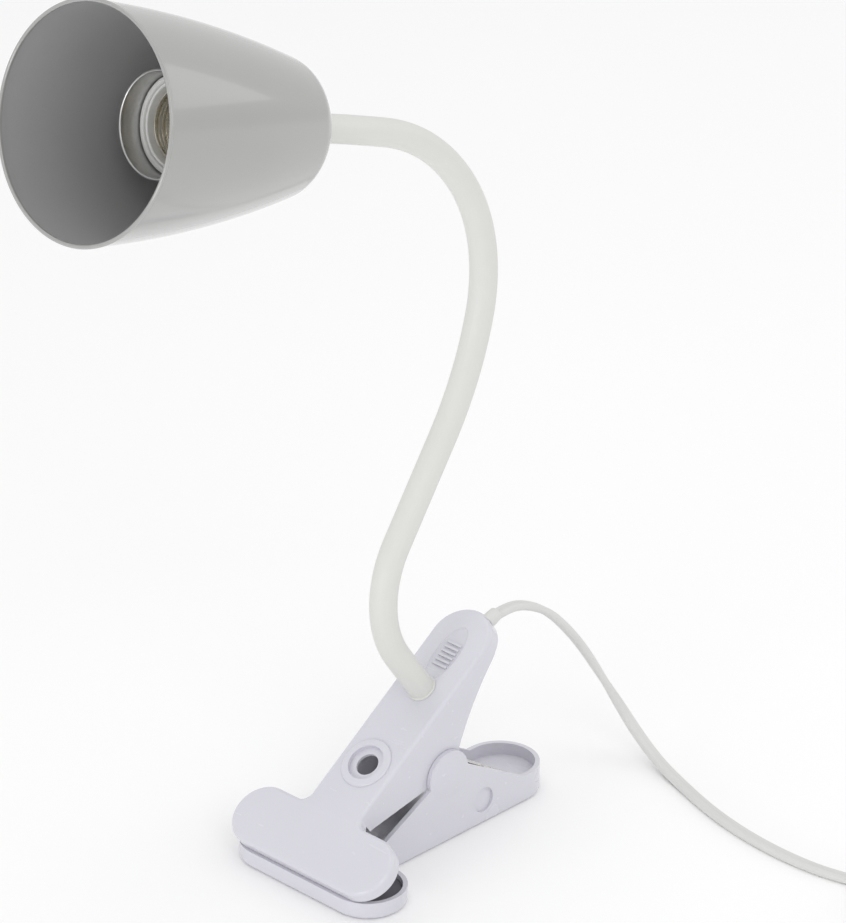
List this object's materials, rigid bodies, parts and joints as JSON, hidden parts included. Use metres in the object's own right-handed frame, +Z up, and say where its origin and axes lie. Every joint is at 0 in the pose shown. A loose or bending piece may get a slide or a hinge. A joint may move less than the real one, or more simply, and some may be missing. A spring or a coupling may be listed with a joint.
{
  "type": "clip-on reading lamp",
  "caption": "Reading lamp with a spring clip, a bendable sleeved neck, a bell-shaped shade with a screw lamp-holder, and a flat cord with a rocker switch and plug.",
  "frame": {"origin": "on the lower jaw's flat underside, straight below the clip's pivot", "axes": "+X from the jaws' nose to the handles, +Y across the jaws, +Z up"},
  "size_m": [0.2851, 0.3583, 0.3906],
  "materials": {
    "jaw_plastic": "white moulded plastic, slightly cool",
    "pad_rubber": "soft grey rubber",
    "bright_steel": "bright zinc-plated steel",
    "spring_steel": "nickel-plated spring wire",
    "brass_thread": "machined brass",
    "holder_white": "white heat-proof plastic",
    "shell_metal": "nickel-plated brass",
    "shade_paint": "light grey gloss paint on spun aluminium",
    "cup_paint": "grey paint with a bare bright edge",
    "cord_grey": "light grey flexible plastic",
    "switch_white": "white moulded plastic",
    "pin_brass": "nickel-plated brass",
    "core_steel": "steel spiral hose",
    "sleeve_rubber": "warm off-white soft sleeve",
    "wire_pvc": "insulated twin wire"
  },
  "bodies": {
    "lower_jaw": {"lower_jaw": "jaw_plastic", "lower_pad": "pad_rubber", "pivot_pin": "bright_steel", "pivot_caps": "jaw_plastic", "torsion_spring": "spring_steel", "spring_plate": "bright_steel", "cord_run": "cord_grey", "cord_link": "cord_grey", "cord_coil": "cord_grey", "cord_end": "cord_grey", "switch_base": "switch_white", "switch_top": "switch_white", "plug_body": "switch_white", "plug_pins": "pin_brass"},
    "upper_jaw": {"upper_jaw": "jaw_plastic", "upper_pad": "pad_rubber", "base_nipple": "brass_thread", "base_washer": "bright_steel", "base_nut": "bright_steel", "handle_cover": "jaw_plastic", "cover_screws": "bright_steel", "cord_grommet": "cord_grey", "wire_connector": "holder_white", "neck_core_0": "core_steel", "neck_wire_0": "wire_pvc", "neck_sleeve_0": "sleeve_rubber", "neck_sleeve_1": "sleeve_rubber"},
    "neck_1": {"neck_core_1": "core_steel", "neck_wire_1": "wire_pvc", "neck_sleeve_2": "sleeve_rubber"},
    "neck_2": {"neck_core_2": "core_steel", "neck_wire_2": "wire_pvc", "neck_sleeve_3": "sleeve_rubber"},
    "neck_3": {"neck_core_3": "core_steel", "neck_wire_3": "wire_pvc", "neck_sleeve_4": "sleeve_rubber"},
    "neck_4": {"neck_core_4": "core_steel", "neck_wire_4": "wire_pvc", "neck_sleeve_5": "sleeve_rubber"},
    "neck_5": {"neck_core_5": "core_steel", "neck_wire_5": "wire_pvc", "neck_sleeve_6": "sleeve_rubber"},
    "head": {"neck_core_6": "core_steel", "neck_wire_6": "wire_pvc", "neck_sleeve_7": "sleeve_rubber", "lamp_shade": "shade_paint", "socket_cup": "cup_paint", "shade_spacer": "holder_white", "head_nipple": "brass_thread", "head_nut": "bright_steel", "holder_body": "holder_white", "holder_collar": "holder_white", "screw_shell": "shell_metal", "holder_insulator": "holder_white", "centre_contact": "shell_metal"},
    "switch_rocker": {"switch_rocker": "switch_white"}
  },
  "joints": [
    {"name": "clip_hinge", "type": "hinge", "parent": "lower_jaw", "child": "upper_jaw", "pos_m": [0, 0, 0.0298], "axis": [0, 1, 0], "range_deg": [0, 24], "stiffness_Nm_per_rad": 1.2, "springref_deg": -51.57, "deforming": ["torsion_spring", "cord_run"]},
    {"name": "neck_sway_1", "type": "hinge", "parent": "upper_jaw", "child": "neck_1", "pos_m": [-0.01246, 0, 0.08152], "axis": [-0.8187, 0, -0.5743], "range_deg": [-25, 25], "deforming": ["neck_sleeve_1"]},
    {"name": "neck_bend_2", "type": "hinge", "parent": "neck_1", "child": "neck_2", "pos_m": [-0.01293, 0, 0.13043], "axis": [0, -1, 0], "range_deg": [-25, 20], "deforming": ["neck_sleeve_2"]},
    {"name": "neck_sway_3", "type": "hinge", "parent": "neck_2", "child": "neck_3", "pos_m": [0.0122, 0, 0.16776], "axis": [-0.8295, 0, 0.5585], "range_deg": [-25, 25], "deforming": ["neck_sleeve_3"]},
    {"name": "neck_bend_4", "type": "hinge", "parent": "neck_3", "child": "neck_4", "pos_m": [0.03239, 0, 0.21323], "axis": [0, -1, 0], "range_deg": [-25, 20], "deforming": ["neck_sleeve_4"]},
    {"name": "neck_sway_5", "type": "hinge", "parent": "neck_4", "child": "neck_5", "pos_m": [0.02351, 0, 0.26898], "axis": [-0.8476, 0, -0.5307], "range_deg": [-25, 25], "deforming": ["neck_sleeve_5"]},
    {"name": "neck_bend_6", "type": "hinge", "parent": "neck_5", "child": "head", "pos_m": [-0.01848, 0, 0.30292], "axis": [0, -1, 0], "range_deg": [-25, 20], "deforming": ["neck_sleeve_6"]},
    {"name": "switch_rock", "type": "hinge", "parent": "lower_jaw", "child": "switch_rocker", "pos_m": [0.09159, -0.19484, 0.01], "axis": [-0.9943, -0.1065, 0], "range_deg": [-6, 6]}
  ]
}
